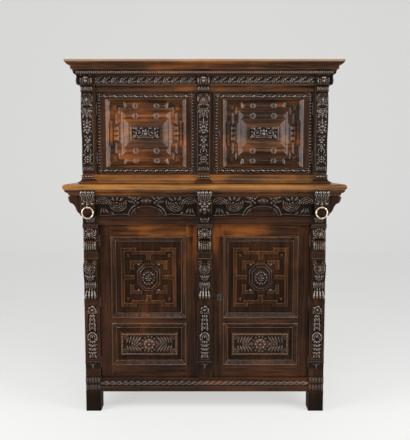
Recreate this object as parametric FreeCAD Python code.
import FreeCAD, Part
import math
import os

# Two stage oak cabinet: a lower cupboard with two doors and a frieze of two drawers,
# and an upper cupboard with two doors. X runs to the right, the front faces -Y, Z is up,
# and the origin is on the floor below the middle of the slab.

V = FreeCAD.Vector

# Heights of the storeys, from the floor up
foot_height = 112.0
bottom_rail_height = 78.0
door_gap = 2.0
lower_door_height = 870.0
waist_rail_height = 48.0
drawer_zone_height = 118.0
crown_height = 28.0
slab_thickness = 31.0
upper_base_height = 50.0
upper_door_height = 448.0
head_rail_height = 32.0
leaf_frieze_height = 49.0
gadroon_height = 21.0
band_height = 11.0
fascia_height = 20.0
ovolo_height = 16.0
fillet_height = 10.0

rail_bottom = foot_height
rail_top = rail_bottom + bottom_rail_height
lower_door_bottom = rail_top + door_gap
lower_door_top = lower_door_bottom + lower_door_height
waist_rail_bottom = lower_door_top + door_gap
waist_rail_top = waist_rail_bottom + waist_rail_height
crown_bottom = waist_rail_top + drawer_zone_height
slab_bottom = crown_bottom + crown_height
slab_top = slab_bottom + slab_thickness
upper_base_top = slab_top + upper_base_height
upper_door_bottom = upper_base_top + door_gap
upper_door_top = upper_door_bottom + upper_door_height
head_rail_bottom = upper_door_top + door_gap
head_rail_top = head_rail_bottom + head_rail_height
leaf_frieze_top = head_rail_top + leaf_frieze_height
gadroon_top = leaf_frieze_top + gadroon_height
band_top = gadroon_top + band_height
fascia_top = band_top + fascia_height
ovolo_top = fascia_top + ovolo_height
cabinet_height = ovolo_top + fillet_height

# Widths and depths of the two carcases
case_width = 1344.0
case_depth = 466.0
slab_front_overhang = 94.0
slab_side_overhang = 89.0
corner_post_size = 84.0
middle_post_width = 82.0
middle_post_depth = 53.0
rebate_lip = 12.0
rebate_depth = 18.0
rebate_clearance = 0.5
back_post_width = 50.0
back_post_depth = 50.0
upper_inset = 4.0
upper_setback = 15.0
pilaster_thickness = 12.0
pilaster_width = 67.0
middle_pilaster_width = 71.0
middle_pilaster_shift = 6.0
upper_post_width = 74.0
upper_post_depth = 60.0
upper_middle_width = 102.0
board = 18.0
side_panel_inset = 10.0
side_rail_thickness = 26.0
tenon_length = 24.0
tenon_thickness = 8.0
tenon_shoulder = 6.0

case_half = case_width / 2
back_y = (case_depth + slab_front_overhang) / 2
face_y = back_y - case_depth
post_inner = case_half - corner_post_size
middle_half = middle_post_width / 2
upper_half = case_half - upper_inset
upper_face_y = face_y + upper_setback
upper_post_y = upper_face_y + pilaster_thickness
upper_post_inner = upper_half - upper_post_width
upper_middle_half = upper_middle_width / 2

# Doors
door_thickness = 28.0
upper_door_thickness = 26.0
lower_door_recess = 25.0
upper_door_recess = 8.0
side_gap = 3.0
meeting_gap = 2.0
panel_thickness = 12.0
panel_sink = 10.0
groove_depth = 8.0
panel_play = 2.0
lower_stile = 60.0
lower_end_rail = 67.0
lower_mid_rail = 30.0
lower_panel_height = 244.0
upper_stile = 46.0
upper_rail = 36.0
overrun = 5.0

lower_door_y = face_y + lower_door_recess
upper_door_y = upper_post_y + upper_door_recess

# Raised work on the door panels. Every outline is a quarter of a four fold figure, in
# shares of the half width and half height of its field, from the top middle to the side.
relief_bevel = 8.0
relief_height = 8.0
upper_frame_width = (24.0, 13.0)
upper_frame_height = 16.0
lower_frame_width = (28.0, 28.0)
lower_frame_height = 15.0
strap_height = 8.0
strap_bevel = 5.0
terrace_rise = 6.0
terrace_bevel = 10.0
pyramid_rise = 12.0
pyramid_bevel = 24.0
cartouche_rise = 3.0
cartouche_bevel = 2.0
cushion_rise = 4.0
cushion_bevel = 10.0
bar_rise = 10.0
bar_mitre = 14.0
bar_gap = 4.0
corner_block_height = 12.0
corner_block_bevel = 11.0
side_step_height = 8.0
boss_height = 13.0
boss_bevel = 14.0
boss_head_radius = 30.0
boss_head_rise = 16.0
rosette_radius = 34.0
rosette_height = 10.0
terrace_shares = [(0.62, 0.985), (0.62, 0.846), (0.783, 0.846), (0.783, 0.653),
                  (0.864, 0.653), (0.864, 0.27), (0.73, 0.27)]
top_terrace_shares = [(0.68, 0.69), (0.68, 0.20)]
pyramid_shares = [(0.607, 0.44)]
cartouche_shares = [(0.480, 0.295)]
cartouche_hollow_shares = [(0.448, 0.255)]
cushion_shares = [(0.430, 0.235)]
bar_split_share = 0.29
outer_bar_end_share = 0.595
outer_bar_shares = (0.79, 0.925)
inner_bar_end_share = 0.635
inner_bar_shares = (0.455, 0.63)
corner_block_half_shares = (0.068, 0.113)
corner_block_place_shares = (0.87, 0.80)
side_bar_shares = (0.74, 0.915)
side_bar_levels_shares = [(-0.068, 0.068), (0.085, 0.23), (-0.23, -0.085)]
side_step_half_shares = (0.045, 0.40)
side_step_place_shares = [(0.965, 0.0)]
ring_outer_shares = [(0.364, 0.75), (0.364, 0.839), (0.861, 0.839)]
ring_inner_shares = [(0.088, 0.481), (0.088, 0.628), (0.53, 0.628), (0.53, 0.706),
                     (0.718, 0.706), (0.718, 0.075), (0.409, 0.075)]
bent_strap_shares = [(0.197, 0.481), (0.197, 0.356), (0.43, 0.356), (0.43, 0.20),
                     (0.585, 0.20), (0.585, 0.481)]
corner_square_half_shares = (0.05, 0.05)
corner_square_place_shares = [(0.635, 0.61)]
octagon_shares = [(0.136, 0.367), (0.333, 0.18)]
tablet_shares = [(0.90, 0.74)]
tablet_rim_width = 9.0

# Hinges, catch, lock and bolts
pin_radius = 2.0
pin_clearance = 0.05
knuckle_radius = 3.5
knuckle_length = 21.0
knuckle_gap = 0.4
leaf_thickness = 1.2
leaf_width = 20.0
hinge_forward = 6.0
hinge_relief = 0.4
hinge_inset = 90.0
spindle_radius = 4.0
spindle_clearance = 0.05
catch_from_edge = 29.0
catch_height_share = 0.514
catch_arm_length = 25.0
catch_arm_width = 8.0
catch_arm_thickness = 6.0
catch_standoff = 8.0
catch_boss_radius = 7.0
tongue_length = 48.0
tongue_width = 14.0
tongue_thickness = 5.0
tongue_clearance = 1.5
lock_width = 44.0
lock_height = 80.0
lock_depth = 15.0
lock_wall = 2.5
lock_height_share = 0.51
lock_bolt_height = 16.0
lock_bolt_depth = 8.0
lock_bolt_hold = 16.0
lock_throw = 18.0
lock_bolt_length = lock_throw + lock_bolt_hold
lock_stand_off = 5.0
slide_clearance = 0.4
escutcheon_half_width = 14.0
escutcheon_half_height = 21.0
escutcheon_thickness = 2.0
keyhole_radius = 3.5
keyhole_slot = 3.0
keyhole_drop = 11.0
escutcheon_waist_share = 0.67
bolt_width = 12.0
bolt_depth = 8.0
bolt_length = 130.0
bolt_throw = 14.0
bolt_knob_radius = 5.0
bolt_knob_length = 12.0
bolt_end_gap = 1.0
mortise_clearance = 1.0
strike_plate = 1.6
staple_wall = 3.0
staple_height = 14.0
staple_inset = 18.0
bolt_from_edge = 34.0

# Drawers
drawer_gap = 1.5
drawer_top_clearance = 1.5
drawer_front_back = 22.0
drawer_bulge = 70.0
drawer_toe = 8.0
bulge_turn_shares = (0.80, 0.52)
bulge_shoulder_shares = (0.93, 0.683)
drawer_wall = 12.0
drawer_side_height = 96.0
drawer_depth = 400.0
drawer_bottom_thickness = 8.0
drawer_bottom_raise = 9.0
drawer_groove = 5.0
dovetail_count = 3
dovetail_slope = 3.0
dovetail_width_share = 0.5
dovetail_lap = 14.0
finger_hollow_half = 62.0
finger_hollow_radius = 24.0
finger_hollow_rise = 30.0
finger_hollow_out = 34.0
runner_height = 24.0
runner_width = 54.0
guide_height = 36.0
kicker_height = 12.0
dust_board = 8.0
waist_rail_depth = 72.0
waist_rail_setback = 5.0

# Corbels and rings
corbel_side_margin = 1.0
corbel_top_out = 84.0
corbel_nose_out = 72.0
corbel_chin_out = 22.0
corbel_brow_width = 70.0
corbel_level_shares = [0.0, 0.34, 0.62, 0.80, 1.0]
ring_radius = 30.0
ring_wire_radius = 4.0
ring_axis_below_slab = 92.0
ring_axis_out = 80.0
ring_section_sides = 8
eye_radius = 9.0
eye_hole_radius = 5.4
eye_thickness = 4.0
eye_shank_radius = 2.5
ring_play = 0.4

# Mouldings
moulding_backing = 25.0
slab_round_share = 0.497
crown_out_top = 82.0
crown_out_bottom = 64.0
crown_turn_share = 0.25
base_out_bottom = 22.0
base_out_top = 6.0
torus_height = 13.0
frieze_out = 15.0
gadroon_out_bottom = 18.0
gadroon_out_top = 32.0
band_out = 40.0
fascia_out = 50.0
ovolo_out_bottom = 56.0
cornice_out = 77.0
top_board_sink = 20.0
rope_radius = 10.0
rope_height = 48.0
bead_radius = 4.0
head_rail_out = 5.0
plinth_flare = 32.0
plinth_top_out = 4.0
plinth_knee_shares = [0.22, 0.62]
plinth_curve_share = 0.25
dimple_radius = 11.0
dimple_depth = 3.0


# Basic solids

def block(x, y, z):
    """A rectangular solid between three (low, high) pairs."""
    return Part.makeBox(x[1] - x[0], y[1] - y[0], z[1] - z[0], V(x[0], y[0], z[0]))


def mirrored(shape):
    """The same piece on the other side of the middle plane."""
    return shape.mirror(V(0, 0, 0), V(1, 0, 0))


def both_sides(shape):
    """A piece and its mirror image."""
    return [shape, mirrored(shape)]


def around(centre, half):
    """The (low, high) pair around a centre."""
    return (centre - half, centre + half)


def section(steps, place):
    """A face inside a closed outline. A single point ends a line. A pair of points is the
    middle and the end of an arc. The function place turns a point into a position."""
    start = place(*steps[0])
    last = start
    edges = []
    for step in steps[1:]:
        if isinstance(step[0], tuple):
            middle, end = place(*step[0]), place(*step[1])
            edges.append(Part.Arc(last, middle, end).toShape())
        else:
            end = place(*step)
            edges.append(Part.LineSegment(last, end).toShape())
        last = end
    edges.append(Part.LineSegment(last, start).toShape())
    return Part.Face(Part.Wire(edges))


def across(steps, x, plane):
    """A profile of (outwards, height) points on a front plane, extruded over x."""
    face = section(steps, lambda out, up: V(x[0], plane - out, up))
    return face.extrude(V(x[1] - x[0], 0, 0))


def upright(steps, y):
    """An outline of (x, z) points, extruded over y."""
    face = section(steps, lambda across_x, up: V(across_x, y[0], up))
    return face.extrude(V(0, y[1] - y[0], 0))


def turned(steps, centre, direction):
    """A half section of (radius, along) points, revolved about a line through centre."""
    sideways = V(1, 0, 0) if abs(direction.x) < abs(direction.z) + abs(direction.y) else V(0, 0, 1)
    face = section(steps, lambda radius, along: centre + sideways * radius + direction * along)
    return face.revolve(centre, direction, 360)


def domed(x, z, base_y, radius, rise):
    """A round cap that rises from a front plane, with the given base radius and rise."""
    half = (0, 0)
    edge = (radius, 0)
    sphere = (radius * radius + rise * rise) / (rise + rise)
    middle_angle = math.asin(radius / sphere) / 2
    middle = (sphere * math.sin(middle_angle), sphere * math.cos(middle_angle) - sphere + rise)
    return turned([half, edge, (middle, (0, rise))], V(x, base_y, z), V(0, -1, 0))


def joined(shapes):
    """Several touching solids as one."""
    return shapes[0].multiFuse(shapes[1:]).removeSplitter()


def save(node, shapes):
    """Write one node, with all its solids."""
    solids = [solid for shape in shapes for solid in shape.Solids]
    whole = solids[0] if len(solids) == 1 else Part.makeCompound(solids)
    whole.exportStep("parts/" + node + ".step")


# Bevelled relief on the plane of a door

def four_fold(quarter, half_width, half_height, centre):
    """A closed outline from its corners in one quarter, given as shares of the half sizes."""
    corners = [(across_share * half_width, up_share * half_height) for across_share, up_share in quarter]
    outline = list(corners)
    outline += [(a, -u) for a, u in reversed(corners) if u > 0]
    outline += [(-a, -u) for a, u in corners]
    outline += [(-a, u) for a, u in reversed(corners) if u > 0]
    outline = [point for i, point in enumerate(outline) if point != outline[i - 1]]
    return [(centre[0] + a, centre[1] + u) for a, u in reversed(outline)]


def offset_outline(points, distance):
    """The outline moved outwards by a distance, with mitred corners."""
    moved = []
    for i, point in enumerate(points):
        before = points[i - 1]
        after = points[(i + 1) % len(points)]
        first = (point[1] - before[1], before[0] - point[0])
        second = (after[1] - point[1], point[0] - after[0])
        first_length = math.hypot(*first)
        second_length = math.hypot(*second)
        n1 = (first[0] / first_length, first[1] / first_length)
        n2 = (second[0] / second_length, second[1] / second_length)
        share = distance / (1 + n1[0] * n2[0] + n1[1] * n2[1])
        moved.append((point[0] + share * (n1[0] + n2[0]), point[1] + share * (n1[1] + n2[1])))
    return moved


def outline_face(points, y):
    """A flat face inside an outline of (x, z) points."""
    corners = [V(x, y, z) for x, z in points]
    return Part.Face(Part.makePolygon(corners + corners[:1]))


def slopes(first, first_y, second, second_y):
    """The flat faces that join two outlines, corner by corner."""
    faces = []
    for i in range(len(first)):
        k = (i + 1) % len(first)
        corners = [V(first[i][0], first_y, first[i][1]), V(first[k][0], first_y, first[k][1]),
                   V(second[k][0], second_y, second[k][1]), V(second[i][0], second_y, second[i][1])]
        faces.append(Part.Face(Part.makePolygon(corners + corners[:1])))
    return faces


def closed_solid(faces):
    """A solid from the faces that enclose it."""
    solid = Part.Solid(Part.Shell(faces))
    if solid.Volume < 0:
        solid.reverse()
    return solid


def plate(outline, base_y, rise, bevel):
    """A raised plate with sloping edges, on the plane base_y."""
    top = offset_outline(outline, -bevel)
    faces = [outline_face(outline, base_y), outline_face(top, base_y - rise)]
    return closed_solid(faces + slopes(outline, base_y, top, base_y - rise))


def hollow_face(outer, inner, y):
    """A flat face between two outlines of (x, z) points."""
    wires = []
    for points in (outer, inner):
        corners = [V(x, y, z) for x, z in points]
        wires.append(Part.makePolygon(corners + corners[:1]))
    return Part.makeFace(wires, "Part::FaceMakerBullseye")


def ring(outer, inner, base_y, rise, bevel):
    """A raised border between two outlines, with sloping edges."""
    outer_top = offset_outline(outer, -bevel)
    inner_top = offset_outline(inner, bevel)
    top_y = base_y - rise
    faces = slopes(outer, base_y, outer_top, top_y) + slopes(inner, base_y, inner_top, top_y)
    faces += [hollow_face(outer_top, inner_top, top_y), hollow_face(outer, inner, base_y)]
    return closed_solid(faces)


def rectangle(x, z):
    """The outline of a rectangle, in the order that the other outlines have."""
    return [(x[0], z[0]), (x[1], z[0]), (x[1], z[1]), (x[0], z[1])]


def quarters(outline, centre, half_width, half_height):
    """An outline in shares of the half sizes, placed in all four quarters of a field."""
    placed = []
    for a_sign, u_sign in ((1, 1), (-1, 1), (-1, -1), (1, -1)):
        points = [(centre[0] + a_sign * a * half_width, centre[1] + u_sign * u * half_height)
                  for a, u in outline]
        placed.append(points if a_sign == u_sign else points[::-1])
    return placed


def mitred_bar(along, across_pair, base_y, rise):
    """A half round bar on the plane base_y, over x, with ends that slope in like a mitre."""
    middle = (across_pair[0] + across_pair[1]) / 2
    low, high = V(0, base_y, across_pair[0]), V(0, base_y, across_pair[1])
    top = V(0, base_y - rise, middle)
    face = Part.Face(Part.Wire([Part.Arc(low, top, high).toShape(), Part.LineSegment(high, low).toShape()]))
    face.translate(V(along[0], 0, 0))
    length = along[1] - along[0]
    body = face.extrude(V(length, 0, 0))
    corners = [V(along[0], base_y, 0), V(along[1], base_y, 0),
               V(along[1] - bar_mitre, base_y - rise, 0), V(along[0] + bar_mitre, base_y - rise, 0)]
    ends = Part.Face(Part.makePolygon(corners + corners[:1]))
    ends.translate(V(0, 0, across_pair[0]))
    return body.common(ends.extrude(V(0, 0, across_pair[1] - across_pair[0])))


def bar_row(centre_x, level, ends, split, base_y, rise):
    """Three bars in line, with narrow gaps at the split on both sides of the middle."""
    half_gap = bar_gap / 2
    spans = [(-ends, -split - half_gap), (-split + half_gap, split - half_gap), (split + half_gap, ends)]
    return [mitred_bar((centre_x + low, centre_x + high), level, base_y, rise) for low, high in spans]


def placed_blocks(centre, half_width, half_height, places, halves, base_y, rise, bevel):
    """The same bevelled block at each place, mirrored to all four quarters."""
    solids = []
    for across_share, up_share in places:
        ups = [up_share, -up_share] if up_share else [up_share]
        for a in (across_share, -across_share):
            for u in ups:
                x = around(centre[0] + a * half_width, halves[0] * half_width)
                z = around(centre[1] + u * half_height, halves[1] * half_height)
                solids.append(plate(rectangle(x, z), base_y, rise, bevel))
    return solids


# Mouldings that run along the front and return along both sides

def mitred_run(steps_at, half_width, front, side_backing):
    """Front and side lengths of a moulding, mitred at the front corners. The function
    steps_at gives the profile for a depth of wood behind the reference face."""
    reach = slab_front_overhang + case_depth
    back = moulding_backing if side_backing is None else side_backing
    long = half_width + reach
    run = across(steps_at(moulding_backing), (-long, long), front)
    low, high = run.BoundBox.ZMin - overrun, run.BoundBox.ZMax + overrun
    inner = moulding_backing + overrun
    wedge = section([(-half_width - reach, front - reach), (half_width + reach, front - reach),
                     (half_width - inner, front + inner), (-half_width + inner, front + inner)],
                    lambda x, y: V(x, y, low)).extrude(V(0, 0, high - low))
    face = section(steps_at(back), lambda out, up: V(half_width + out, front - reach, up))
    side = face.extrude(V(0, back_y - front + reach, 0))
    keep = section([(half_width + reach, front - reach), (half_width + reach, back_y),
                    (half_width - inner, back_y), (half_width - inner, front + inner)],
                   lambda x, y: V(x, y, low)).extrude(V(0, 0, high - low))
    return [run.common(wedge)] + both_sides(side.common(keep))


# Carcase joinery

def tenoned_rail(x, y, z):
    """A rail along X, with a tenon at both ends. Returns the rail and its tenons."""
    middle = (y[0] + y[1]) / 2
    tenon_y = around(middle, tenon_thickness / 2)
    tenon_z = (z[0] + tenon_shoulder, z[1] - tenon_shoulder)
    tenons = block((x[0] - tenon_length, x[1] + tenon_length), tenon_y, tenon_z)
    return joined([block(x, y, z), tenons]), tenons


def side_rail(y, z, outer):
    """A rail of the right side frame, along Y, with a tenon at both ends."""
    x = (outer - side_rail_thickness, outer)
    middle = (x[0] + x[1]) / 2
    tenon_z = (z[0] + tenon_shoulder, z[1] - tenon_shoulder)
    tenons = block(around(middle, tenon_thickness / 2), (y[0] - tenon_length, y[1] + tenon_length), tenon_z)
    return joined([block(x, y, z), tenons]), tenons


def fielded_panel(y, z, outer):
    """A panel of the right side frame, with a raised field that has sloping edges."""
    face = outer - side_panel_inset
    body = block((face - panel_thickness, face), (y[0] - groove_depth, y[1] + groove_depth),
                 (z[0] - groove_depth, z[1] + groove_depth))
    margin = lower_stile / 2
    low = Part.makePolygon([V(face, y[0] + margin, z[0] + margin), V(face, y[1] - margin, z[0] + margin),
                            V(face, y[1] - margin, z[1] - margin), V(face, y[0] + margin, z[1] - margin),
                            V(face, y[0] + margin, z[0] + margin)])
    step = margin + relief_bevel
    top = face + relief_height
    high = Part.makePolygon([V(top, y[0] + step, z[0] + step), V(top, y[1] - step, z[0] + step),
                             V(top, y[1] - step, z[1] - step), V(top, y[0] + step, z[1] - step),
                             V(top, y[0] + step, z[0] + step)])
    return joined([body, Part.makeLoft([low, high], True, True)])


def side_frame(front, back, levels, outer):
    """Rails and panels of the right side, between the posts. The levels are the (low, high)
    pairs of the rails from the floor up. Returns the pieces, tenons and panel edges."""
    pieces = []
    tenons = []
    panels = []
    for low, high in zip(levels, levels[1:]):
        panels.append(fielded_panel((front, back), (low[1], high[0]), outer))
    edges = Part.makeCompound(panels)
    for level in levels:
        rail, tenon = side_rail((front, back), level, outer)
        pieces.append(rail.cut(edges))
        tenons.append(tenon)
    return pieces + panels, tenons + panels


def back_frame(width, z_levels, muntin_width, outer_y):
    """Rails, a middle muntin and flat panels that close the back between the back posts."""
    rail_y = (outer_y - board, outer_y)
    panel_y = around(outer_y - board / 2, dust_board / 2)
    rails = []
    panels = []
    inner_low, inner_high = z_levels[0][1], z_levels[-1][0]
    for side in (-1, 1):
        x = sorted((side * muntin_width / 2, side * width))
        panels.append(block((x[0] - groove_depth, x[1] + groove_depth), panel_y,
                            (inner_low - groove_depth, inner_high + groove_depth)))
    edges = Part.makeCompound(panels)
    for level in z_levels:
        rails.append(block((-width, width), rail_y, level).cut(edges))
    muntin = block(around(0, muntin_width / 2), rail_y, (inner_low, inner_high)).cut(edges)
    return rails + [muntin] + panels, panels


# Lower carcase

post_core_sink = 6.0
post_trim_margin = 4.0
lower_side_levels = [(rail_bottom, rail_top), (rail_top + lower_end_rail + lower_panel_height,
                     rail_top + lower_end_rail + lower_panel_height + lower_mid_rail),
                     (waist_rail_bottom, waist_rail_top), (crown_bottom, slab_bottom)]
foot_fillet_drop = 4.0
foot_fillet_height = 6.0
ankle_height = 50.0
leaf_block_height = 34.0
shin_height = 81.0
ledge_height = 12.0
block_height = 30.0
paw_height = 57.0
console_waist_height = 36.0
volute_rise = 105.0
volute_return = 27.0
console_neck_height = 39.0
abacus_height = 8.0
bust_height = 60.0
head_height = 66.0
collar_height = 22.0
post_cap_height = 44.0
swell_middle_share = 0.44
foot_out = 6.0
foot_fillet_out = 10.0
ankle_out = 3.0
leaf_block_out = 9.0
shin_out = 2.5
ledge_out = 12.0
drop_panel_out = 6.0
block_out = 10.0
paw_out = 35.0
console_waist_out = 23.0
volute_out = 51.0
neck_out = 16.0
abacus_out = 28.0
bust_out = 38.0
head_out = 34.0
collar_out = 18.0
cap_out = 8.0
console_width = 72.0
bust_width = 66.0
face_width = 50.0
post_panel_half = 26.0
post_panel_depth = 5.0
post_panel_margin = 10.0


def stacked(start, members):
    """Levels at the far side of each (name, height) member of a stack that begins at start."""
    levels = {}
    level = start
    for name, height in members:
        level += height
        levels[name] = level
    return levels


# The drop panel takes the height that the foot below it and the console above it leave.
post_levels = stacked(rail_bottom - foot_fillet_drop, [
    ("foot_fillet", 0), ("ankle", foot_fillet_height), ("leaf_block", ankle_height),
    ("shin", leaf_block_height), ("ledge", shin_height), ("panel", ledge_height)])
post_levels.update(stacked(waist_rail_top, [
    ("cap", -post_cap_height), ("collar", -collar_height), ("face", -head_height),
    ("bust", -bust_height), ("abacus", -abacus_height), ("volute_top", -console_neck_height),
    ("volute", -volute_return), ("waist", -volute_rise), ("knee", -console_waist_height),
    ("paw", -paw_height), ("block", -block_height)]))


def layer(x, plane, low, high, out):
    """A flat layer that stands before a front plane."""
    return block(x, (plane - out, plane), (low, high))


def post_console(x, plane):
    """The scroll console: paw, narrow waist and volute."""
    level = post_levels.get
    scroll = [(0, level("paw")), (block_out, level("paw")),
              ((paw_out, (level("paw") + level("knee")) / 2), (console_waist_out, level("knee"))),
              (console_waist_out, level("waist")),
              ((volute_out - bead_radius, (level("waist") + level("volute_top")) / 2),
               (volute_out, level("volute"))),
              (neck_out, level("volute_top")), (0, level("volute_top"))]
    return across(scroll, x, plane)


def post_swell(x, plane, low, high, out):
    """A rounded swell between two levels, for the bust and the head."""
    middle = low + (high - low) * swell_middle_share
    steps = [(0, low), (neck_out, low), ((out, middle), (neck_out, high)), (0, high)]
    return across(steps, x, plane)


def post_front(x_centre, width, bottom):
    """The carved front of a lower post in its main forms: ankle, drop panel, scroll console,
    bust under a small head, and collar. It stands before a flat core."""
    level = post_levels.get
    full = around(x_centre, width / 2)
    console = around(x_centre, console_width / 2)
    plane = face_y + post_core_sink
    pieces = [
        layer(full, plane, level("shin"), level("ledge"), shin_out),
        layer(full, plane, level("ledge"), level("panel"), ledge_out),
        layer(full, plane, level("panel"), level("block"), drop_panel_out),
        layer(full, plane, level("block"), level("paw"), block_out),
        post_console(console, plane),
        layer(console, plane, level("volute_top"), level("abacus"), neck_out),
        layer(console, plane, level("abacus"), level("bust"), abacus_out),
        post_swell(around(x_centre, bust_width / 2), plane, level("bust"), level("face"), bust_out),
        post_swell(around(x_centre, face_width / 2), plane, level("face"), level("collar"), head_out),
        layer(full, plane, level("collar"), level("cap"), collar_out),
        layer(full, plane, level("cap"), waist_rail_top, cap_out),
    ]
    if bottom < level("ankle"):
        pieces += [
            layer(full, plane, bottom, level("foot_fillet"), foot_out),
            layer(full, plane, level("foot_fillet"), level("ankle"), foot_fillet_out),
            layer(full, plane, level("ankle"), level("leaf_block"), ankle_out),
            layer(full, plane, level("leaf_block"), level("shin"), leaf_block_out),
        ]
    else:
        pieces.append(layer(full, plane, bottom, level("shin"), shin_out))
    shape = joined(pieces)
    face = plane - drop_panel_out
    hollow = block(around(x_centre, post_panel_half), (face - overrun, face + post_panel_depth),
                   (level("panel") + post_panel_margin, level("block") - post_panel_margin))
    return shape.cut(hollow)


def lower_corner_post(cuts):
    """The right corner post, from the floor to the slab."""
    x_centre = case_half - corner_post_size / 2
    core_y = (face_y + post_core_sink, face_y + corner_post_size)
    core = block((post_inner, case_half), core_y, (0, slab_bottom))
    front = post_front(x_centre, corner_post_size, 0)
    return joined([core, front]).cut(cuts)


def lower_middle_post():
    """The post between the doors. Returns the post, the rebate strips behind it, with a gap
    for the lock bolt, and the plates that close the gap in front and behind."""
    lip_y = lower_door_y + door_thickness + rebate_clearance
    core = block(around(0, middle_half), (face_y + post_core_sink, face_y + middle_post_depth),
                 (rail_top, crown_bottom))
    core_back = block(around(0, middle_half), (face_y + middle_post_depth, lip_y + rebate_depth),
                      (rail_top, waist_rail_bottom))
    front = post_front(0, middle_post_width, rail_top)
    strip_x = (middle_half, middle_half + meeting_gap + rebate_lip)
    strip_y = (lip_y, lip_y + rebate_depth)
    lock_z = lower_door_bottom + lower_door_height * lock_height_share
    gap_z = around(lock_z, lock_bolt_height / 2 + mortise_clearance)
    strips = [mirrored(block(strip_x, strip_y, (rail_top, waist_rail_bottom))),
              block(strip_x, strip_y, (rail_top, gap_z[0])),
              block(strip_x, strip_y, (gap_z[1], waist_rail_bottom))]
    plates = [block(strip_x, (strip_y[0], strip_y[0] + strike_plate), gap_z),
              block(strip_x, (strip_y[1] - strike_plate, strip_y[1]), gap_z)]
    return joined([core, core_back, front]), strips, plates


def hinge_levels(low, high, count):
    """Heights of the hinge middles on a door."""
    first = low + hinge_inset
    last = high - hinge_inset
    return [first + (last - first) * i / (count - 1) for i in range(count)]


lower_hinges = hinge_levels(lower_door_bottom, lower_door_top, 3)
upper_hinges = hinge_levels(upper_door_bottom, upper_door_top, 2)


def hinge_axis(inner, door_y):
    """The pin line of the right hand hinges: across and back positions."""
    return inner - side_gap / 2, door_y - hinge_forward


def hinge_reliefs(inner, door_y, levels):
    """The hollows in a right hand post that give the knuckles room."""
    x, y = hinge_axis(inner, door_y)
    half = knuckle_length / 2 + knuckle_length + knuckle_gap * 2
    return [Part.makeCylinder(knuckle_radius + hinge_relief, half * 2, V(x, y, z - half), V(0, 0, 1))
            for z in levels]


def catch_place():
    """The spindle line of the catch on the upper right door."""
    return (upper_middle_half + meeting_gap + catch_from_edge,
            upper_door_bottom + upper_door_height * catch_height_share)


def bolt_hole(door_edge, y_back, low):
    """The mortise that a left door's bolt enters, above the door."""
    x = around(-door_edge - bolt_from_edge, bolt_width / 2 + mortise_clearance)
    y = (y_back + staple_wall - mortise_clearance, y_back + staple_wall + bolt_depth + mortise_clearance)
    return block(x, y, (low - overrun, low + bolt_throw + bolt_end_gap))


def build_lower_case():
    front = face_y + corner_post_size
    back = back_y - back_post_depth
    sides, side_tenons = side_frame(front, back, lower_side_levels, case_half)
    span = (-post_inner, post_inner)
    rail_y = lower_door_y - lower_door_recess / 2
    waist_y = (face_y + middle_post_depth, face_y + waist_rail_depth + waist_rail_setback)
    rail, rail_tenon = tenoned_rail(span, (rail_y, lower_door_y + door_thickness), (rail_bottom, rail_top))
    waist, waist_tenon = tenoned_rail(span, waist_y, (waist_rail_bottom, waist_rail_top))
    top, top_tenon = tenoned_rail(span, (face_y, face_y + waist_rail_depth), (crown_bottom, slab_bottom))
    tenons = side_tenons + [rail_tenon, waist_tenon, top_tenon]
    reliefs = hinge_reliefs(post_inner, lower_door_y, lower_hinges)
    right = lower_corner_post(Part.makeCompound(tenons + reliefs))
    save("lower_post_right", [right])
    save("lower_post_left", [mirrored(right)])

    middle, strips, plates = lower_middle_post()
    save("lower_post_middle", [middle] + strips)

    save("lower_side_right", sides)
    save("lower_side_left", [mirrored(piece) for piece in sides])

    bead_start = V(-post_inner, rail_y, rail_top - bead_radius)
    rope_start = V(-post_inner, rail_y, rail_bottom + rope_height)
    bead = Part.makeCylinder(bead_radius, post_inner * 2, bead_start, V(1, 0, 0))
    rope = Part.makeCylinder(rope_radius, post_inner * 2, rope_start, V(1, 0, 0))
    fascia_z = (rail_bottom, rail_bottom + rope_height - rope_radius * 2)
    fascia_low = block(span, (face_y + bead_radius, rail_y), fascia_z)
    save("bottom_rail", [joined([rail, bead, rope, fascia_low])])

    blade_back = waist_rail_setback + middle_post_depth
    blade_steps = [(-blade_back, waist_rail_bottom), (-waist_rail_setback, waist_rail_bottom),
                   (-waist_rail_setback, waist_rail_top - bead_radius * 2),
                   ((0, waist_rail_top - bead_radius), (-waist_rail_setback, waist_rail_top)),
                   (-blade_back, waist_rail_top)]
    blade = across(blade_steps, (middle_half, post_inner), face_y)
    behind = block(span, waist_y, (waist_rail_bottom, waist_rail_top))
    blades = [piece.cut(behind) for piece in both_sides(blade)]
    hole = bolt_hole(middle_half + meeting_gap, lower_door_y + door_thickness, waist_rail_bottom)
    save("waist_rails", [joined([waist] + blades).cut(hole), top.cut(corbel_block(0))])

    back_levels = [(rail_bottom, rail_top), (crown_bottom - waist_rail_height, slab_bottom)]
    back_width = case_half - back_post_width
    frame, panels = back_frame(back_width, back_levels, corner_post_size, back_y)
    post = block((back_width, case_half), (back, back_y), (0, slab_bottom))
    post = post.cut(Part.makeCompound(side_tenons + panels))
    save("lower_back", frame + both_sides(post))

    floor_front = lower_door_y + door_thickness
    floor = block((-case_half + side_rail_thickness, case_half - side_rail_thickness),
                  (floor_front, back_y - board), (rail_top - board, rail_top))
    corner = both_sides(block((post_inner, case_half), (face_y, front), (0, slab_bottom)))
    back_posts = both_sides(post)
    floor = floor.cut(Part.makeCompound(corner + back_posts + [middle] + strips))
    save("lower_floor", [floor])

    shelf_z = lower_side_levels[1][0]
    shelf_x = case_half - side_rail_thickness
    shelf = block((-shelf_x, shelf_x), (front, back), (shelf_z, shelf_z + board))
    cleat = block((shelf_x - board, shelf_x), (front, back), (shelf_z - board, shelf_z))
    save("lower_shelf", [shelf] + both_sides(cleat))
    return plates


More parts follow.
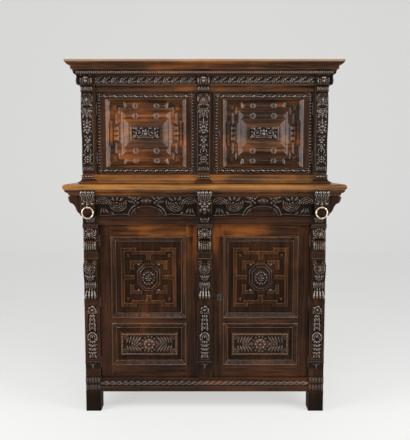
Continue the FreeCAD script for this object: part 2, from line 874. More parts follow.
def build_drawer_deck():
    """Dust board, runners, guides and kickers that carry the two drawers."""
    front = face_y + waist_rail_depth + waist_rail_setback
    back = back_y - board
    side_inner = case_half - side_rail_thickness
    runner_z = (waist_rail_top - runner_height, waist_rail_top)
    y = (front, back)
    middle_x = around(0, middle_half + drawer_gap)
    outer_x = (post_inner - runner_width, side_inner)
    dust_z = around(waist_rail_top - runner_height / 2, dust_board / 2)
    dust = block((middle_half + runner_width - groove_depth, outer_x[0] + groove_depth), y, dust_z)
    dusts = both_sides(dust)
    edges = Part.makeCompound(dusts)
    tall = (0, slab_bottom)
    front_post = block((post_inner, case_half), (face_y, face_y + corner_post_size), tall)
    back_post = block((case_half - back_post_width, case_half), (back_y - back_post_depth, back_y), tall)
    blocked = Part.makeCompound(both_sides(front_post) + both_sides(back_post))
    centre = block(around(0, middle_half + runner_width), y, runner_z)
    outer = block(outer_x, y, runner_z).cut(blocked)
    guide_front = face_y + corner_post_size
    guide_z = (waist_rail_top, waist_rail_top + guide_height)
    guide = block((post_inner, side_inner), (guide_front, back), guide_z).cut(blocked)
    middle_guide = block(around(0, middle_half), (front, back), guide_z)
    kicker_z = (crown_bottom, crown_bottom + kicker_height)
    kicker = block((post_inner - runner_width, side_inner), (guide_front, back), kicker_z).cut(blocked)
    middle_kicker = block(middle_x, (face_y + waist_rail_depth, back), kicker_z)
    runners = [centre.cut(edges)] + [piece.cut(edges) for piece in both_sides(outer)]
    pieces = runners + dusts + both_sides(guide) + [middle_guide] + both_sides(kicker) + [middle_kicker]
    save("drawer_deck", pieces)


# Drawers

def bulge_steps(back_out, low, high, bulge, toe):
    """The pulvinated profile: upright above, turning in on a slope to a narrow toe."""
    height = high - low
    shoulder = (bulge * bulge_shoulder_shares[0], low + height * bulge_shoulder_shares[1])
    turn = (bulge * bulge_turn_shares[0] - toe, low + height * bulge_turn_shares[1])
    return [(back_out, low), (toe, low), turn, (shoulder, (bulge, high)), (back_out, high)]


def drawer_tails(y_front, z_low, z_high, x_low, x_high, lap):
    """Dovetails in plan view of a drawer side's front end, as solids that widen to the front."""
    pitch = (z_high - z_low) / dovetail_count
    tails = []
    for i in range(dovetail_count):
        centre = z_low + pitch * (i + 1 / 2)
        narrow = pitch * dovetail_width_share / 2
        wide = narrow + dovetail_slope
        corners = [V(x_low, y_front - lap, centre - wide), V(x_low, y_front - lap, centre + wide),
                   V(x_low, y_front, centre + narrow), V(x_low, y_front, centre - narrow)]
        face = Part.Face(Part.makePolygon(corners + corners[:1]))
        tails.append(face.extrude(V(x_high - x_low, 0, 0)))
    return tails


def build_drawers():
    """The right drawer and its mirror image: a carved front, dovetailed sides, back and bottom."""
    x = (middle_half + meeting_gap, post_inner - door_gap)
    z = (waist_rail_top + drawer_gap, crown_bottom - drawer_top_clearance)
    front_back = face_y + drawer_front_back
    front = across(bulge_steps(-drawer_front_back, z[0], z[1], drawer_bulge, drawer_toe), x, face_y)
    centre = (x[0] + x[1]) / 2
    hollow_x = around(centre, finger_hollow_half)
    scoop_y = face_y - finger_hollow_out
    scoop = Part.makeCylinder(finger_hollow_radius, finger_hollow_half * 2,
                              V(hollow_x[0], scoop_y, z[0] + finger_hollow_rise), V(1, 0, 0))
    mouth_z = (z[0] - overrun, z[0] + finger_hollow_rise)
    mouth = block(hollow_x, (face_y - drawer_bulge - overrun, scoop_y + finger_hollow_radius), mouth_z)
    toe = block(hollow_x, (face_y - drawer_toe, face_y + drawer_front_back), (z[0] - overrun, z[1]))
    mouth = mouth.cut(toe)
    front = front.cut(joined([scoop, mouth]))

    side_z = (waist_rail_top + slide_clearance, waist_rail_top + drawer_side_height)
    y_end = front_back + drawer_depth
    side_x = (x[0], x[0] + drawer_wall)
    tails = drawer_tails(front_back, side_z[0] + drawer_bottom_raise, side_z[1], side_x[0], side_x[1],
                         dovetail_lap)
    side = joined([block(side_x, (front_back, y_end), side_z)] + tails)
    far_side = side.copy()
    far_side.translate(V(x[1] - x[0] - drawer_wall, 0, 0))
    bottom_z = (side_z[0] + drawer_bottom_raise, side_z[0] + drawer_bottom_raise + drawer_bottom_thickness)
    bottom = block((x[0] + drawer_wall - drawer_groove, x[1] - drawer_wall + drawer_groove),
                   (front_back - drawer_groove, y_end), bottom_z)
    back = block((side_x[1], x[1] - drawer_wall), (y_end - drawer_wall * 2, y_end - drawer_wall),
                 (bottom_z[1], side_z[1]))
    sides = [piece.cut(bottom) for piece in (side, far_side)]
    front = front.cut(Part.makeCompound([side, far_side, bottom]))
    save("drawer_right_front", [front])
    save("drawer_left_front", [mirrored(front)])
    box = sides + [back, bottom]
    save("drawer_right_box", box)
    save("drawer_left_box", [mirrored(piece) for piece in box])


# Corbels, crown moulding, slab and rings

def corbel(x_centre):
    """A lion headed corbel: flat top, brow, muzzle and throat, cut from the side and the front."""
    half = corner_post_size / 2 - corbel_side_margin
    low = waist_rail_top
    tall = slab_bottom - low
    throat, muzzle, brow, shelf, top = [low + tall * share for share in corbel_level_shares]
    cheek_out = corbel_nose_out - post_core_sink
    profile = [(-post_core_sink, throat), (corbel_chin_out, throat),
               ((cheek_out - post_core_sink, (throat + muzzle) / 2), (corbel_nose_out, muzzle)),
               ((corbel_nose_out + post_trim_margin, (muzzle + brow) / 2), (cheek_out, brow)),
               ((corbel_nose_out, (brow + shelf) / 2), (corbel_top_out - post_trim_margin, shelf)),
               (corbel_top_out, shelf), (corbel_top_out, top), (-post_core_sink, top)]
    body = across(profile, around(x_centre, half), face_y)
    brow_half = corbel_brow_width / 2
    chin_half = brow_half - post_core_sink * 2
    left = [(-chin_half, throat), (-brow_half, muzzle), (-brow_half, brow), (-half, shelf), (-half, top)]
    outline = [(x_centre + offset, level) for offset, level in left]
    outline += [(x_centre - offset, level) for offset, level in reversed(left)]
    return body.common(upright(outline, (face_y - corbel_top_out - overrun, face_y + post_core_sink)))


def corbel_block(x_centre):
    """The space that a corbel takes out of the crown moulding."""
    half = corner_post_size / 2 - corbel_side_margin
    return block(around(x_centre, half), (face_y - slab_front_overhang, face_y + post_core_sink),
                 (waist_rail_top, slab_bottom))


def ring_axis():
    """Height and front position of the line that a ring swings about."""
    return slab_bottom - ring_axis_below_slab, face_y - ring_axis_out


def drilled_lug(x, y, z):
    """The round, flat eye that a ring hangs in, with its hole across the cabinet."""
    start = V(x - eye_thickness / 2, y, z)
    lug = Part.makeCylinder(eye_radius, eye_thickness, start, V(1, 0, 0))
    return lug.cut(Part.makeCylinder(eye_hole_radius, eye_thickness, start, V(1, 0, 0)))


def hanging_ring(x, y, z):
    """A forged ring with a section of flat sides, in the plane across the cabinet."""
    corners = []
    for i in range(ring_section_sides):
        angle = math.tau * (i + 1 / 2) / ring_section_sides
        corners.append((ring_radius + ring_wire_radius * math.cos(angle), ring_wire_radius * math.sin(angle)))
    return turned(corners, V(x, y, z), V(0, 1, 0))


def build_corbels_and_rings():
    x = case_half - corner_post_size / 2
    z_axis, y_axis = ring_axis()
    right = corbel(x)
    z_eye = z_axis + eye_hole_radius - ring_wire_radius - ring_play
    shank_from = y_axis + (eye_radius + eye_hole_radius) / 2
    shank = Part.makeCylinder(eye_shank_radius, face_y - shank_from, V(x, shank_from, z_eye), V(0, 1, 0))
    eye = joined([drilled_lug(x, y_axis, z_eye), shank])
    room = Part.makeCylinder(ring_wire_radius + post_core_sink, corner_post_size * 2,
                             V(x - corner_post_size, y_axis, z_axis), V(1, 0, 0))
    right = right.cut(room).cut(shank)
    chin_room = block(around(x, ring_radius + ring_wire_radius * 2), (y_axis - ring_wire_radius * 2,
                      y_axis + ring_wire_radius + rebate_clearance), (waist_rail_top - ring_radius, z_axis))
    right = right.cut(chin_room)
    save("corbel_right", [right])
    save("corbel_left", [mirrored(right)])
    save("corbel_middle", [corbel(0)])
    save("ring_eyes", both_sides(eye))
    hung = hanging_ring(x, y_axis, z_axis - ring_radius)
    save("ring_right", [hung])
    save("ring_left", [mirrored(hung)])


def crown_steps(backing):
    """Ogee under the slab."""
    low, high = crown_bottom, slab_bottom
    middle = ((crown_out_top + crown_out_bottom) / 2, (low + high) / 2)
    turn = (high - low) * crown_turn_share
    swell = (crown_out_top - crown_out_bottom) * crown_turn_share
    return [(-backing + moulding_backing, low), (crown_out_bottom, low),
            ((crown_out_bottom, low + turn), middle),
            ((crown_out_top - swell / 2, high - turn), (crown_out_top, high)),
            (-backing + moulding_backing, high)]


def build_waist():
    """Crown moulding, side friezes and the slab."""
    x = case_half - corner_post_size / 2
    run = mitred_run(crown_steps, case_half, face_y, None)
    blocks = Part.makeCompound([corbel_block(x), corbel_block(-x), corbel_block(0)])
    save("crown_moulding", [piece.cut(blocks) for piece in run])

    steps = bulge_steps(0, waist_rail_top, crown_bottom, drawer_bulge, drawer_toe)
    face = section(steps, lambda out, up: V(case_half + out, face_y, up))
    frieze = face.extrude(V(0, case_depth, 0))
    save("side_frieze_right", [frieze])
    save("side_frieze_left", [mirrored(frieze)])

    half = case_half + slab_side_overhang
    slab = block((-half, half), (face_y - slab_front_overhang, back_y), (slab_bottom, slab_top))
    rounded = []
    for edge in slab.Edges:
        level = edge.BoundBox.ZMax - edge.BoundBox.ZMin
        middle_y = (edge.BoundBox.YMin + edge.BoundBox.YMax) / 2
        if level < slab_thickness / 2 and middle_y < back_y - slab_thickness:
            rounded.append(edge)
    save("waist_slab", [slab.makeFillet(slab_thickness * slab_round_share, rounded)])


# Upper carcase

upper_side_levels = [(slab_top, upper_base_top), (head_rail_bottom, band_top)]
capital_out = 14.0
mask_out = 30.0
mask_width = 68.0
swell_level_shares = [0.02, 0.30, 0.44, 0.62, 0.98]


def pilaster(x_centre, width):
    """A carved pilaster in its main forms: a board with two swells, under a capital."""
    low, high = upper_base_top, head_rail_top
    tall = head_rail_bottom - low
    x = around(x_centre, width / 2)
    foot, belly, waist, chest, neck = [low + tall * share for share in swell_level_shares]
    thick = pilaster_thickness
    plane = upper_post_y
    steps = [(0, low), (thick, low), (thick, foot),
             ((thick + capital_out / 2, (foot + belly) / 2), (thick, belly)), (thick, waist),
             ((thick + capital_out, chest), (thick, neck)), (thick, head_rail_bottom), (0, head_rail_bottom)]
    shaft = across(steps, x, plane)
    cap = block(around(x_centre, width / 2 + post_trim_margin), (plane - thick - capital_out, plane),
                (head_rail_bottom - post_trim_margin, high))
    return joined([shaft, cap])


def plinth_block(x_centre, width, y_back):
    """A block under a pilaster, flaring to its foot on three sides, with two dimples."""
    low, high = slab_top, upper_base_top
    tall = high - low
    knee = [low + tall * share for share in plinth_knee_shares]
    half = width / 2
    plane = upper_face_y
    side_steps = [(plane - y_back, low), (plinth_flare, low), (plinth_flare, knee[0]),
                  ((plinth_top_out + plinth_flare * plinth_curve_share, (knee[0] + knee[1]) / 2),
                   (plinth_top_out, knee[1])),
                  (plinth_top_out, high), (plane - y_back, high)]
    body = across(side_steps, around(x_centre, half + plinth_flare), plane)
    reach = plinth_flare / 2
    left = [(-half - reach, low), (-half - reach, knee[0]), (-half, knee[1]), (-half, high)]
    outline = [(x_centre + offset, up) for offset, up in left]
    outline += [(x_centre - offset, up) for offset, up in reversed(left)]
    shape = body.common(upright(outline, (plane - plinth_flare - overrun, y_back + overrun)))
    for side in (-1, 1):
        hollow = Part.makeCylinder(dimple_radius / 2, dimple_depth, V(x_centre + side * half / 2,
                                   plane - plinth_top_out, (knee[1] + high) / 2), V(0, 1, 0))
        shape = shape.cut(hollow)
    return shape


def mask_block(x_centre):
    """A head block on the frieze above a pilaster, under a stepped abacus."""
    half = mask_width / 2
    face = upper_face_y - frieze_out
    back = block(around(x_centre, half), (face - mask_out / 2, face), (head_rail_top, leaf_frieze_top))
    head = domed(x_centre, (head_rail_top + leaf_frieze_top) / 2, face - mask_out / 2,
                 leaf_frieze_height / 2 - post_trim_margin, mask_out / 2)
    return joined([back, head])


def base_steps(backing):
    """Base moulding of the upper stage: torus, cove and small fillet."""
    low, high = slab_top, upper_base_top
    torus_top = low + torus_height
    fillet = high - bead_radius * 2
    half_bead = bead_radius / 2
    swell = (base_out_bottom + half_bead, (low + torus_top) / 2)
    hollow = (base_out_top + half_bead, (torus_top + fillet) / 2 - bead_radius)
    return [(-backing, low), (base_out_bottom - bead_radius, low),
            (swell, (base_out_bottom - bead_radius, torus_top)), (hollow, (base_out_top, fillet)),
            (base_out_top, high), (-backing, high)]


def frieze_steps(backing):
    """Flat frieze board that carries the running leaf."""
    return [(-backing, head_rail_top), (frieze_out, head_rail_top), (frieze_out, leaf_frieze_top),
            (-backing, leaf_frieze_top)]


def cornice_steps(backing):
    """Gadrooned swell, band, fascia, ovolo and fillet."""
    swell = ((gadroon_out_bottom + gadroon_out_top) / 2 + bead_radius, (leaf_frieze_top + gadroon_top) / 2)
    half_bead = bead_radius / 2
    bow = ((ovolo_out_bottom + cornice_out) / 2 + half_bead, (fascia_top + ovolo_top) / 2 - half_bead)
    return [(-backing, leaf_frieze_top), (gadroon_out_bottom, leaf_frieze_top),
            (swell, (gadroon_out_top, gadroon_top)), (band_out, gadroon_top), (band_out, band_top),
            (fascia_out, band_top), (fascia_out, fascia_top), (ovolo_out_bottom, fascia_top),
            (bow, (cornice_out - half_bead, ovolo_top)), (cornice_out, ovolo_top),
            (cornice_out, cabinet_height), (-backing, cabinet_height)]


def build_upper_case():
    front = upper_post_y + upper_post_depth
    back = back_y - back_post_depth
    outer = upper_half
    sides, side_tenons = side_frame(front, back, upper_side_levels, outer)
    rail_y = (upper_post_y, upper_post_y + upper_post_depth)
    span = (-upper_post_inner, upper_post_inner)
    head, head_tenon = tenoned_rail(span, rail_y, (head_rail_bottom, head_rail_top))
    foot, foot_tenon = tenoned_rail(span, rail_y, (slab_top, upper_base_top))
    top, top_tenon = tenoned_rail(span, rail_y, (leaf_frieze_top, band_top))
    cuts = Part.makeCompound(side_tenons + [head_tenon, foot_tenon, top_tenon]
                             + hinge_reliefs(upper_post_inner, upper_door_y, upper_hinges))
    post = block((upper_post_inner, outer), rail_y, (slab_top, band_top)).cut(cuts)
    pilaster_x = outer - pilaster_width / 2
    right = joined([post, pilaster(pilaster_x, pilaster_width)])
    save("upper_post_right", [right])
    save("upper_post_left", [mirrored(right)])

    lip_y = upper_door_y + upper_door_thickness + rebate_clearance
    middle_z = (upper_base_top, head_rail_bottom)
    core = block(around(0, upper_middle_half), (upper_post_y, lip_y), middle_z)
    lip_half = upper_middle_half + meeting_gap + rebate_lip
    lips = block(around(0, lip_half), (lip_y, lip_y + rebate_depth), middle_z)
    middle = joined([core, lips, pilaster(-middle_pilaster_shift, middle_pilaster_width)])
    save("upper_post_middle", [middle])

    save("upper_side_right", sides)
    save("upper_side_left", [mirrored(piece) for piece in sides])

    hole = bolt_hole(upper_middle_half + meeting_gap, upper_door_y + upper_door_thickness, head_rail_bottom)
    bead_low = head_rail_bottom + bead_radius
    face_steps = [(0, head_rail_bottom), (head_rail_out, head_rail_bottom), (head_rail_out, bead_low),
                  ((head_rail_out + bead_radius, bead_low + bead_radius),
                   (head_rail_out, bead_low + bead_radius * 2)),
                  (head_rail_out, head_rail_top), (0, head_rail_top)]
    trim = across(face_steps, span, upper_post_y)
    cap_y = (upper_post_y - pilaster_thickness - capital_out - overrun, upper_post_y)
    cap_places = [(pilaster_x, pilaster_width), (-pilaster_x, pilaster_width),
                  (-middle_pilaster_shift, middle_pilaster_width)]
    caps = [block(around(x, width / 2 + post_trim_margin), cap_y, (head_rail_bottom, head_rail_top))
            for x, width in cap_places]
    trim = trim.cut(Part.makeCompound(caps))
    frieze = mitred_run(frieze_steps, upper_half, upper_face_y, 0)
    posts = Part.makeCompound(both_sides(post))
    save("head_frieze", [head.cut(hole), top, trim] + [piece.cut(posts) for piece in frieze])

    back_levels = [(slab_top, upper_base_top), (head_rail_bottom, band_top)]
    back_width = outer - back_post_width
    frame, panels = back_frame(back_width, back_levels, corner_post_size, back_y)
    back_post = block((back_width, outer), (back, back_y), (slab_top, band_top))
    back_post = back_post.cut(Part.makeCompound(side_tenons + panels))
    save("upper_back", frame + both_sides(back_post))

    floor = block((-outer + side_rail_thickness, outer - side_rail_thickness), (front, back_y - board),
                  (upper_base_top - board, upper_base_top))
    floor = floor.cut(Part.makeCompound(both_sides(back_post)))
    save("upper_floor", [floor, foot])

    shelf_z = upper_door_bottom + upper_door_height / 2
    shelf_front = lip_y + rebate_depth + tongue_clearance * 2 + tongue_thickness * 2
    shelf_x = outer - side_panel_inset - panel_thickness
    shelf = block((-shelf_x, shelf_x), (shelf_front, back), (shelf_z, shelf_z + board))
    cleat = block((shelf_x - board, shelf_x), (shelf_front, back), (shelf_z - board, shelf_z))
    save("upper_shelf", [shelf] + both_sides(cleat))

    blocks = [plinth_block(pilaster_x, pilaster_width, upper_post_y + corner_post_size),
              plinth_block(-middle_pilaster_shift, middle_pilaster_width, upper_post_y)]
    right_plinth = blocks[0].cut(block((0, outer), (upper_post_y, back_y), (slab_top, upper_base_top)))
    plinths = both_sides(right_plinth) + [blocks[1]]
    save("upper_plinth_blocks", plinths)
    run = mitred_run(base_steps, upper_half, upper_face_y, 0)
    filled = Part.makeCompound(plinths + both_sides(post) + [foot])
    moulding = [piece.cut(filled) for piece in run]
    moulding = [solid for piece in moulding for solid in piece.Solids
                if solid.BoundBox.DiagonalLength > corner_post_size]
    save("upper_base_moulding", moulding)
    save("mask_blocks", both_sides(mask_block(pilaster_x)) + [mask_block(-middle_pilaster_shift)])

    cornice = mitred_run(cornice_steps, upper_half, upper_face_y, 0)
    taken = Part.makeCompound(both_sides(post) + [top])
    save("cornice", [piece.cut(taken) for piece in cornice])
    board_top = cabinet_height - top_board_sink
    lid = block((-outer, outer), (upper_face_y + moulding_backing, back_y), (board_top - board, board_top))
    save("top_board", [lid])


# Doors, modelled as the left door of each pair

def door_frame(x, z, y, stile, rails, thickness):
    """Two stiles and the rails between them, with tenons. The rails are (low, high) pairs."""
    deep = (y, y + thickness)
    stiles = [block((x[0], x[0] + stile), deep, z), block((x[1] - stile, x[1]), deep, z)]
    inner = (x[0] + stile, x[1] - stile)
    pieces = []
    tenons = []
    for level in rails:
        middle = y + thickness / 2
        reach = stile / 2
        tenon = block((inner[0] - reach, inner[1] + reach), around(middle, tenon_thickness / 2),
                      (level[0] + tenon_shoulder, level[1] - tenon_shoulder))
        pieces.append(joined([block(inner, deep, level), tenon]))
        tenons.append(tenon)
    cuts = Part.makeCompound(tenons)
    return [piece.cut(cuts) for piece in stiles] + pieces


def panel_board(x, z, y):
    """A panel between grooves, and the groove space that the frame gives it."""
    edge = groove_depth
    panel = block((x[0] - edge, x[1] + edge), (y + panel_sink, y + panel_sink + panel_thickness),
                  (z[0] - edge, z[1] + edge))
    deep = groove_depth + panel_play
    groove = block((x[0] - deep, x[1] + deep), (y + panel_sink, y + panel_sink + panel_thickness),
                   (z[0] - deep, z[1] + deep))
    return panel, groove


def frame_ring(x, z, field_y, width, rise):
    """A mitred border inside a panel opening, sloping down to the field. The width is a
    pair, at the sides and at the top and bottom."""
    outer = rectangle(x, z)
    inner = rectangle((x[0] + width[0], x[1] - width[0]), (z[0] + width[1], z[1] - width[1]))
    crest = relief_bevel / 2
    ridge = offset_outline(outer, -crest)
    top_y = field_y - rise
    edge_y = field_y - rise / 2
    faces = slopes(outer, field_y, outer, edge_y) + slopes(outer, edge_y, ridge, top_y)
    faces += slopes(ridge, top_y, inner, field_y) + slopes(inner, field_y, outer, field_y)
    return closed_solid(faces)


def upper_relief(x, z, y):
    """Stepped terraces with mitred edges around the cartouche of an upper door."""
    field_y = y + panel_sink
    border = frame_ring(x, z, field_y, upper_frame_width, upper_frame_height)
    half_width = (x[1] - x[0]) / 2 - upper_frame_width[0]
    half_height = (z[1] - z[0]) / 2 - upper_frame_width[1]
    centre = ((x[0] + x[1]) / 2, (z[0] + z[1]) / 2)

    def outline(shares):
        return four_fold(shares, half_width, half_height, centre)

    def blocks(places, halves, base_y, rise, bevel):
        return placed_blocks(centre, half_width, half_height, places, halves, base_y, rise, bevel)

    low = plate(outline(terrace_shares), field_y, terrace_rise, terrace_bevel)
    corners = blocks([corner_block_place_shares], corner_block_half_shares, field_y,
                     corner_block_height, corner_block_bevel)
    corners = [corner.cut(low) for corner in corners]
    middle_y = field_y - terrace_rise
    high = plate(outline(top_terrace_shares), middle_y, terrace_rise, terrace_bevel)
    top_y = middle_y - terrace_rise
    pyramid = plate(outline(pyramid_shares), top_y, pyramid_rise, pyramid_bevel)
    crest_y = top_y - pyramid_rise
    cartouche = ring(outline(cartouche_shares), outline(cartouche_hollow_shares), crest_y,
                     cartouche_rise, cartouche_bevel)
    cushion = plate(outline(cushion_shares), crest_y, cushion_rise, cushion_bevel)
    bars = []
    for shares, end, base_y in ((outer_bar_shares, outer_bar_end_share, middle_y),
                                (inner_bar_shares, inner_bar_end_share, top_y)):
        for sign in (-1, 1):
            level = sorted(centre[1] + sign * share * half_height for share in shares)
            split = bar_split_share * half_width
            bars += bar_row(centre[0], level, end * half_width, split, base_y, bar_rise)
    for low_share, high_share in side_bar_levels_shares:
        level = (centre[1] + low_share * half_height, centre[1] + high_share * half_height)
        for sign in (-1, 1):
            span = sorted(centre[0] + sign * share * half_width for share in side_bar_shares)
            bars.append(mitred_bar(span, level, field_y, bar_rise))
    steps = blocks(side_step_place_shares, side_step_half_shares, field_y, side_step_height, relief_bevel / 2)
    steps = [step.cut(border) for step in steps]
    return [border, low, high, pyramid, cartouche, cushion] + corners + bars + steps


def lower_relief(x, z, y):
    """Nested straps with mitred corners around the octagonal boss of a lower door."""
    field_y = y + panel_sink
    border = frame_ring(x, z, field_y, lower_frame_width, lower_frame_height)
    half_width = (x[1] - x[0]) / 2 - lower_frame_width[0]
    half_height = (z[1] - z[0]) / 2 - lower_frame_width[1]
    centre = ((x[0] + x[1]) / 2, (z[0] + z[1]) / 2)

    def outline(shares):
        return four_fold(shares, half_width, half_height, centre)

    maze = ring(outline(ring_outer_shares), outline(ring_inner_shares), field_y, strap_height, strap_bevel)
    bent = [plate(points, field_y, strap_height, strap_bevel)
            for points in quarters(bent_strap_shares, centre, half_width, half_height)]
    squares = placed_blocks(centre, half_width, half_height, corner_square_place_shares,
                            corner_square_half_shares, field_y, strap_height, strap_bevel)
    boss = plate(outline(octagon_shares), field_y, boss_height, boss_bevel)
    head = domed(centre[0], centre[1], field_y - boss_height, boss_head_radius, boss_head_rise)
    return [border, maze, boss, head] + bent + squares


def tablet_relief(x, z, y):
    """Raised tablet with a rim and a round rosette, on the low panel of a lower door."""
    field_y = y + panel_sink
    border = frame_ring(x, z, field_y, lower_frame_width, lower_frame_height)
    half_width = (x[1] - x[0]) / 2 - lower_frame_width[0]
    half_height = (z[1] - z[0]) / 2 - lower_frame_width[1]
    centre = ((x[0] + x[1]) / 2, (z[0] + z[1]) / 2)
    outer = four_fold(tablet_shares, half_width, half_height, centre)
    slab = plate(outer, field_y, strap_height, strap_bevel)
    rim_outer = offset_outline(outer, -strap_bevel)
    rim = ring(rim_outer, offset_outline(rim_outer, -tablet_rim_width), field_y - strap_height,
               strap_bevel, strap_bevel / 2)
    rosette = domed(centre[0], centre[1], field_y - strap_height, rosette_radius, rosette_height)
    return [border, slab, rim, rosette]


def knuckle(x, y, low, high, bore):
    """One barrel of a hinge."""
    barrel = Part.makeCylinder(knuckle_radius, high - low, V(x, y, low), V(0, 0, 1))
    if bore:
        barrel = barrel.cut(Part.makeCylinder(bore, high - low, V(x, y, low), V(0, 0, 1)))
    return barrel


def hinge_parts(inner, door_y, levels):
    """Hinges of a left hand door. Returns the leaves on the post, with pins, and on the door."""
    x, y = hinge_axis(inner, door_y)
    x = -x
    post_x = (x - side_gap / 2, x - side_gap / 2 + leaf_thickness)
    door_x = (x + side_gap / 2 - leaf_thickness, x + side_gap / 2)
    leaf_y = (y, door_y + leaf_width)
    barrel_y = (y - overrun, y + knuckle_radius + hinge_relief)
    on_post = []
    on_door = []
    half = knuckle_length / 2
    end = half + knuckle_gap + knuckle_length
    for z in levels:
        pin = Part.makeCylinder(pin_radius, end * 2, V(x, y, z - end), V(0, 0, 1))
        ends = [knuckle(x, y, z - end, z - half - knuckle_gap, 0),
                knuckle(x, y, z + half + knuckle_gap, z + end, 0)]
        room = block(post_x, barrel_y, around(z, half + knuckle_gap))
        leaf = block(post_x, leaf_y, (z - end, z + end)).cut(room)
        on_post.append(joined([leaf, pin] + ends))
        moving = knuckle(x, y, z - half, z + half, pin_radius + pin_clearance)
        space = [block(door_x, barrel_y, (low, low + knuckle_length + knuckle_gap))
                 for low in (z - end, z + half)]
        bore = Part.makeCylinder(pin_radius + pin_clearance, end * 2, V(x, y, z - end), V(0, 0, 1))
        leaf = block(door_x, leaf_y, (z - end, z + end)).cut(Part.makeCompound(space)).cut(bore)
        on_door.append(joined([leaf, moving]))
    return on_post, on_door


def bolt_pieces(door_edge, door_back, top):
    """The sliding bolt of a left door, as a bar and its knob, and the two staples that guide it."""
    x_centre = -door_edge - bolt_from_edge
    y = (door_back + staple_wall, door_back + staple_wall + bolt_depth)
    z = (top - bolt_length - bolt_end_gap, top - bolt_end_gap)
    bar = block(around(x_centre, bolt_width / 2), y, z)
    knob = Part.makeCylinder(bolt_knob_radius, bolt_knob_length, V(x_centre, y[1], (z[0] + z[1]) / 2),
                             V(0, 1, 0))
    inner_half = bolt_width / 2 + slide_clearance
    inner_y = (y[0] - slide_clearance, y[1] + slide_clearance)
    staples = []
    for low in (z[0] + staple_inset, z[1] - staple_inset - staple_height):
        outer = block(around(x_centre, inner_half + staple_wall), (door_back, inner_y[1] + staple_wall),
                      (low, low + staple_height))
        inner = block(around(x_centre, inner_half), inner_y, (low - overrun, low + staple_height + overrun))
        staples.append(outer.cut(inner))
    return [bar, knob], staples


def build_catch():
    """The turn catch of the upper right door: bent lever, spindle, collar and inner tongue."""
    x, z = catch_place()
    front = upper_door_y
    back = upper_door_y + upper_door_thickness
    lip_back = back + rebate_clearance + rebate_depth
    tongue_y = (lip_back + tongue_clearance, lip_back + tongue_clearance + tongue_thickness)
    lever_y = (front - catch_standoff - catch_arm_thickness, front - catch_standoff)
    spindle = Part.makeCylinder(spindle_radius, tongue_y[1] - lever_y[0], V(x, lever_y[0], z), V(0, 1, 0))
    boss = Part.makeCylinder(catch_boss_radius, catch_arm_thickness, V(x, lever_y[0], z), V(0, 1, 0))
    arm = block((x - catch_arm_length, x), lever_y, around(z, catch_arm_width / 2))
    grip = block(around(x, catch_arm_width / 2), lever_y, (z - catch_arm_length, z))
    tongue = block(around(x, tongue_width / 2), tongue_y, (z - tongue_length, z + tongue_width / 2))
    save("catch_lever", [joined([spindle, boss, arm, grip, tongue])])
    return Part.makeCylinder(spindle_radius + spindle_clearance, upper_door_thickness + overrun * 2,
                             V(x, front - overrun, z), V(0, 1, 0))


def lock_case(x, y, z, channel_x, channel_y, channel_z):
    """The plates and blocks that enclose the channel of the lock bolt."""
    return [block(x, y, (channel_z[1], z[1])), block(x, y, (z[0], channel_z[0])),
            block(x, (y[0], channel_y[0]), channel_z), block(x, (channel_y[1], y[1]), channel_z),
            block((channel_x[1], x[1]), channel_y, channel_z)]


def build_lock():
    """Rim lock of the lower right door. Saves the bolt and returns the fixed pieces and keyhole."""
    back = lower_door_y + door_thickness
    start = middle_half + meeting_gap + rebate_lip + slide_clearance + lock_stand_off
    z = lower_door_bottom + lower_door_height * lock_height_share
    bolt_y = (back + lock_wall, back + lock_wall + lock_bolt_depth)
    case = lock_case((start, start + lock_width), (back, back + lock_depth), around(z, lock_height / 2),
                     (start, start + lock_bolt_length + slide_clearance),
                     (bolt_y[0] - slide_clearance, bolt_y[1] + slide_clearance),
                     around(z, lock_bolt_height / 2 + slide_clearance))
    bolt = block((start, start + lock_bolt_length), bolt_y, around(z, lock_bolt_height / 2))
    save("lock_bolt", [bolt])
    key_x = start + lock_width / 2
    key_z = z + lock_bolt_height
    hole_from = lower_door_y - escutcheon_thickness - overrun
    round_hole = Part.makeCylinder(keyhole_radius, back - hole_from, V(key_x, hole_from, key_z), V(0, 1, 0))
    slot = block(around(key_x, keyhole_slot / 2), (hole_from, back), (key_z - keyhole_drop, key_z))
    keyhole = joined([round_hole, slot])
    wide, tall = escutcheon_half_width, escutcheon_half_height
    waist = wide * escutcheon_waist_share
    leaf = [(key_x, key_z - tall), ((key_x + wide, key_z - tall / 2), (key_x + waist, key_z)),
            ((key_x + wide, key_z + tall / 2), (key_x, key_z + tall)),
            ((key_x - wide, key_z + tall / 2), (key_x - waist, key_z)),
            ((key_x - wide, key_z - tall / 2), (key_x, key_z - tall))]
    escutcheon = upright_closed(leaf, (lower_door_y - escutcheon_thickness, lower_door_y)).cut(keyhole)
    return case + [escutcheon], keyhole


def upright_closed(steps, y):
    """An outline of (x, z) points that ends where it starts, extruded over y."""
    last = V(steps[0][0], y[0], steps[0][1])
    edges = []
    for middle, end in steps[1:]:
        target = V(end[0], y[0], end[1])
        edges.append(Part.Arc(last, V(middle[0], y[0], middle[1]), target).toShape())
        last = target
    return Part.Face(Part.Wire(edges)).extrude(V(0, y[1] - y[0], 0))


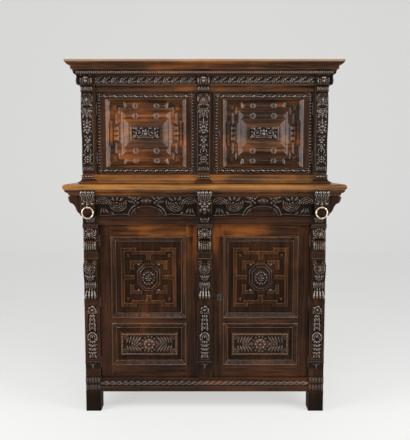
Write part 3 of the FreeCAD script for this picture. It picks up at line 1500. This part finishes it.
def build_doors(post_plates):
    """All four doors. The left ones are the pattern, and the right ones are mirrored. The
    ironwork on the posts is saved with the given plates."""
    post_leaves = list(post_plates)
    x = (-post_inner + side_gap, -middle_half - meeting_gap)
    z = (lower_door_bottom, lower_door_top)
    y = lower_door_y
    rails = [(z[0], z[0] + lower_end_rail)]
    rails.append((rails[0][1] + lower_panel_height, rails[0][1] + lower_panel_height + lower_mid_rail))
    rails.append((z[1] - lower_end_rail, z[1]))
    frame = door_frame(x, z, y, lower_stile, rails, door_thickness)
    opening_x = (x[0] + lower_stile, x[1] - lower_stile)
    low_panel, low_groove = panel_board(opening_x, (rails[0][1], rails[1][0]), y)
    high_panel, high_groove = panel_board(opening_x, (rails[1][1], rails[2][0]), y)
    grooves = Part.makeCompound([low_groove, high_groove])
    frame = [piece.cut(grooves) for piece in frame]
    relief = lower_relief(opening_x, (rails[1][1], rails[2][0]), y)
    relief += tablet_relief(opening_x, (rails[0][1], rails[1][0]), y)
    on_post, on_door = hinge_parts(post_inner, y, lower_hinges)
    post_leaves += [leaf for piece in on_post for leaf in both_sides(piece)]
    fixed, keyhole = build_lock()
    bolt, staples = bolt_pieces(middle_half + meeting_gap, y + door_thickness, z[1])
    save("lower_left_door_frame", frame)
    save("lower_left_door_panels", [low_panel, high_panel])
    save("lower_left_door_strapwork", relief)
    save("lower_left_door_ironwork", on_door + staples)
    save("lower_left_bolt", bolt)
    save("lower_right_door_frame", [mirrored(piece).cut(keyhole) for piece in frame])
    save("lower_right_door_panels", [mirrored(low_panel), mirrored(high_panel)])
    save("lower_right_door_strapwork", [mirrored(piece) for piece in relief])
    save("lower_right_door_ironwork", [mirrored(piece) for piece in on_door] + fixed)

    x = (-upper_post_inner + side_gap, -upper_middle_half - meeting_gap)
    z = (upper_door_bottom, upper_door_top)
    y = upper_door_y
    rails = [(z[0], z[0] + upper_rail), (z[1] - upper_rail, z[1])]
    frame = door_frame(x, z, y, upper_stile, rails, upper_door_thickness)
    opening_x = (x[0] + upper_stile, x[1] - upper_stile)
    panel, groove = panel_board(opening_x, (rails[0][1], rails[1][0]), y)
    frame = [piece.cut(groove) for piece in frame]
    relief = upper_relief(opening_x, (rails[0][1], rails[1][0]), y)
    on_post, on_door = hinge_parts(upper_post_inner, y, upper_hinges)
    post_leaves += [leaf for piece in on_post for leaf in both_sides(piece)]
    hole = build_catch()
    bolt, staples = bolt_pieces(upper_middle_half + meeting_gap, y + upper_door_thickness, z[1])
    save("upper_left_door_frame", frame)
    save("upper_left_door_panel", [panel])
    save("upper_left_door_strapwork", relief)
    save("upper_left_door_ironwork", on_door + staples)
    save("upper_left_bolt", bolt)
    save("upper_right_door_frame", [mirrored(piece).cut(hole) for piece in frame])
    save("upper_right_door_panel", [mirrored(panel)])
    save("upper_right_door_strapwork", [mirrored(piece) for piece in relief])
    save("upper_right_door_ironwork", [mirrored(piece) for piece in on_door])
    save("post_ironwork", post_leaves)


os.makedirs("parts", exist_ok=True)
strike_plates = build_lower_case()
build_drawer_deck()
build_drawers()
build_corbels_and_rings()
build_waist()
build_upper_case()
build_doors(strike_plates)
print("height", cabinet_height)
